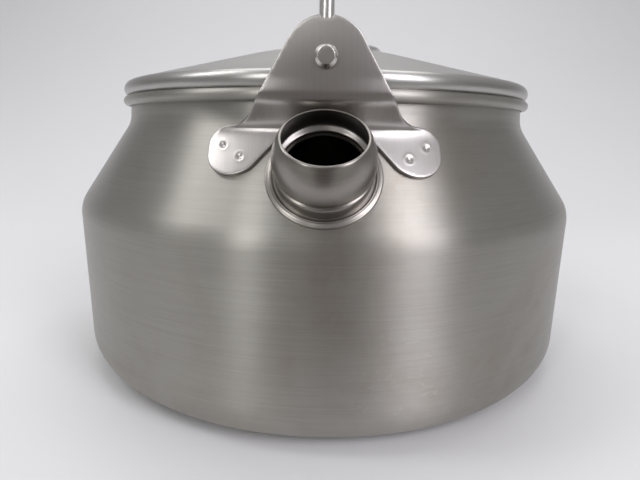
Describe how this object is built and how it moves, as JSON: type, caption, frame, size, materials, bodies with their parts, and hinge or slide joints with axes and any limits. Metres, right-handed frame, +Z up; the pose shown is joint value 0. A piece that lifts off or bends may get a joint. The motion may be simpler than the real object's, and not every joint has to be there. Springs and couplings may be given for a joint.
{
  "type": "stovetop camping kettle",
  "caption": "Low stainless steel kettle with a short open spout, a folding wire handle riveted to two welded brackets, and a domed lift-off lid with a folding ring.",
  "frame": {"origin": "centre of the flat base, on the surface the kettle stands on", "axes": "+Z up, -Y towards the spout and the front bracket, +X to the right when the spout faces the viewer"},
  "size_m": [0.19, 0.1969, 0.2049],
  "materials": {
    "satin_body": "satin, brushed around the body",
    "satin_lid": "satin, spun",
    "spout_steel": "fine satin",
    "bracket_steel": "brushed along its length",
    "rivet_steel": "satin",
    "bright_wire": "polished"
  },
  "bodies": {
    "kettle": {"body_shell": "satin_body", "spout_tube": "spout_steel", "spout_foot_ring": "spout_steel", "front_bracket": "bracket_steel", "rear_bracket": "bracket_steel", "front_pivot_rivet": "rivet_steel", "rear_pivot_rivet": "rivet_steel", "front_pivot_washer": "rivet_steel", "rear_pivot_washer": "rivet_steel"},
    "handle": {"bail_handle": "bright_wire"},
    "lid": {"lid_dome": "satin_lid", "lid_skirt": "satin_lid", "lid_ring_clip": "bracket_steel"},
    "lid_ring": {"lid_ring": "bright_wire"}
  },
  "joints": [
    {"name": "handle_hinge", "type": "hinge", "parent": "kettle", "child": "handle", "pos_m": [0, 0, 0.1035], "axis": [0, 1, 0], "range_deg": [-110, 110]},
    {"name": "lid_lift", "type": "slide", "parent": "kettle", "child": "lid", "axis": [0, 0, 1], "range_m": [0, 0.045]},
    {"name": "lid_ring_hinge", "type": "hinge", "parent": "lid", "child": "lid_ring", "pos_m": [0, 0, 0.11755], "axis": [0, -1, 0], "range_deg": [0, 184]}
  ]
}
